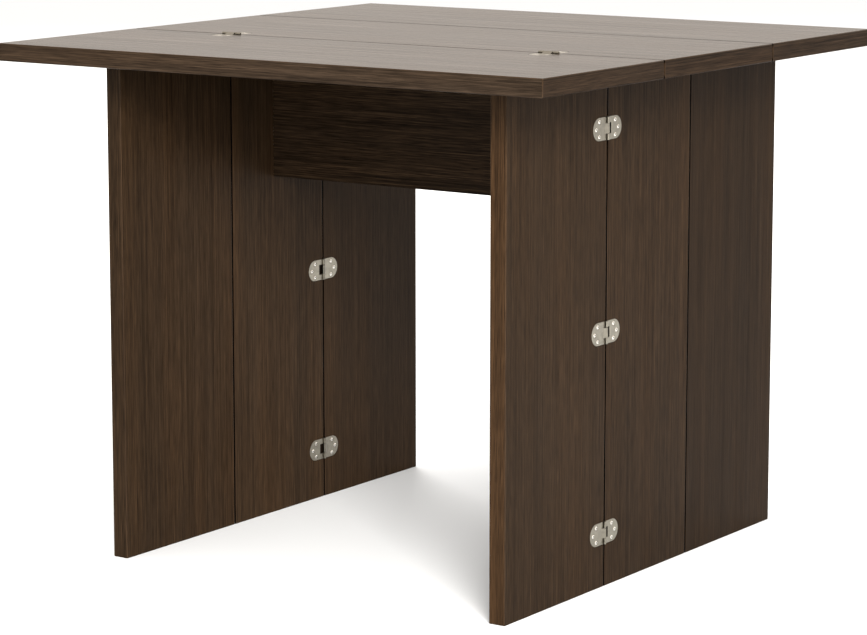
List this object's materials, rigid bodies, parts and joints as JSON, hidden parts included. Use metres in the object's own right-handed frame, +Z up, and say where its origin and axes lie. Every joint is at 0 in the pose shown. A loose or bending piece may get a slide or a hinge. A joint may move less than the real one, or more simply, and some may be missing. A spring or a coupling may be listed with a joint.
{
  "type": "gateleg table",
  "caption": "Square dark oak folding table: hinged board top, slab legs of hinged upright boards that swing as gates, and an apron between them.",
  "frame": {"origin": "on the floor under the centre of the open top", "axes": "+Z up, +X along the apron towards the right leg, -Y towards the front of the table"},
  "size_m": [0.9, 0.9, 0.743],
  "materials": {
    "oak_veneer": "dark stained fine-grained oak veneer under matt lacquer",
    "hinge_nickel": "satin nickel plated brass",
    "bracket_steel": "bright zinc plated steel"
  },
  "bodies": {
    "root": {"middle_top_board": "oak_veneer", "apron": "oak_veneer", "left_leg_middle_board": "oak_veneer", "right_leg_middle_board": "oak_veneer", "left_top_bracket": "bracket_steel", "right_top_bracket": "bracket_steel", "front_leaf_hinge_left_fixed_plate": "hinge_nickel", "front_leaf_hinge_right_fixed_plate": "hinge_nickel", "rear_leaf_hinge_left_fixed_plate": "hinge_nickel", "rear_leaf_hinge_right_fixed_plate": "hinge_nickel", "left_leg_front_hinge_lower_fixed_plate": "hinge_nickel", "left_leg_front_hinge_centre_fixed_plate": "hinge_nickel", "left_leg_front_hinge_upper_fixed_plate": "hinge_nickel", "left_leg_rear_hinge_lower_fixed_plate": "hinge_nickel", "left_leg_rear_hinge_centre_fixed_plate": "hinge_nickel", "left_leg_rear_hinge_upper_fixed_plate": "hinge_nickel", "right_leg_front_hinge_lower_fixed_plate": "hinge_nickel", "right_leg_front_hinge_centre_fixed_plate": "hinge_nickel", "right_leg_front_hinge_upper_fixed_plate": "hinge_nickel", "right_leg_rear_hinge_lower_fixed_plate": "hinge_nickel", "right_leg_rear_hinge_centre_fixed_plate": "hinge_nickel", "right_leg_rear_hinge_upper_fixed_plate": "hinge_nickel", "front_leaf_hinge_left_pin": "hinge_nickel", "front_leaf_hinge_right_pin": "hinge_nickel", "rear_leaf_hinge_left_pin": "hinge_nickel", "rear_leaf_hinge_right_pin": "hinge_nickel", "left_leg_front_hinge_lower_pin": "hinge_nickel", "left_leg_front_hinge_centre_pin": "hinge_nickel", "left_leg_front_hinge_upper_pin": "hinge_nickel", "left_leg_rear_hinge_lower_pin": "hinge_nickel", "left_leg_rear_hinge_centre_pin": "hinge_nickel", "left_leg_rear_hinge_upper_pin": "hinge_nickel", "right_leg_front_hinge_lower_pin": "hinge_nickel", "right_leg_front_hinge_centre_pin": "hinge_nickel", "right_leg_front_hinge_upper_pin": "hinge_nickel", "right_leg_rear_hinge_lower_pin": "hinge_nickel", "right_leg_rear_hinge_centre_pin": "hinge_nickel", "right_leg_rear_hinge_upper_pin": "hinge_nickel"},
    "front_leaf": {"front_leaf": "oak_veneer", "front_leaf_hinge_left_moving_plate": "hinge_nickel", "front_leaf_hinge_right_moving_plate": "hinge_nickel"},
    "rear_leaf": {"rear_leaf": "oak_veneer", "rear_leaf_hinge_left_moving_plate": "hinge_nickel", "rear_leaf_hinge_right_moving_plate": "hinge_nickel"},
    "left_front_gate": {"left_leg_front_board": "oak_veneer", "left_leg_front_hinge_lower_moving_plate": "hinge_nickel", "left_leg_front_hinge_centre_moving_plate": "hinge_nickel", "left_leg_front_hinge_upper_moving_plate": "hinge_nickel"},
    "left_rear_gate": {"left_leg_rear_board": "oak_veneer", "left_leg_rear_hinge_lower_moving_plate": "hinge_nickel", "left_leg_rear_hinge_centre_moving_plate": "hinge_nickel", "left_leg_rear_hinge_upper_moving_plate": "hinge_nickel"},
    "right_front_gate": {"right_leg_front_board": "oak_veneer", "right_leg_front_hinge_lower_moving_plate": "hinge_nickel", "right_leg_front_hinge_centre_moving_plate": "hinge_nickel", "right_leg_front_hinge_upper_moving_plate": "hinge_nickel"},
    "right_rear_gate": {"right_leg_rear_board": "oak_veneer", "right_leg_rear_hinge_lower_moving_plate": "hinge_nickel", "right_leg_rear_hinge_centre_moving_plate": "hinge_nickel", "right_leg_rear_hinge_upper_moving_plate": "hinge_nickel"}
  },
  "joints": [
    {"name": "front_leaf_fold", "type": "hinge", "parent": "root", "child": "front_leaf", "pos_m": [0, -0.15, 0.7411], "axis": [-1, 0, 0], "range_deg": [0, 180]},
    {"name": "rear_leaf_lift", "type": "hinge", "parent": "root", "child": "rear_leaf", "pos_m": [0, 0.15, 0.7139], "axis": [1, 0, 0], "range_deg": [0, 4]},
    {"name": "left_front_gate_swing", "type": "hinge", "parent": "root", "child": "left_front_gate", "pos_m": [-0.3356, -0.102, 0.357], "axis": [0, 0, -1], "range_deg": [0, 180]},
    {"name": "left_rear_gate_swing", "type": "hinge", "parent": "root", "child": "left_rear_gate", "pos_m": [-0.3084, 0.124, 0.357], "axis": [0, 0, -1], "range_deg": [0, 90]},
    {"name": "right_front_gate_swing", "type": "hinge", "parent": "root", "child": "right_front_gate", "pos_m": [0.3356, -0.102, 0.357], "axis": [0, 0, 1], "range_deg": [0, 180]},
    {"name": "right_rear_gate_swing", "type": "hinge", "parent": "root", "child": "right_rear_gate", "pos_m": [0.3084, 0.124, 0.357], "axis": [0, 0, 1], "range_deg": [0, 90]}
  ]
}
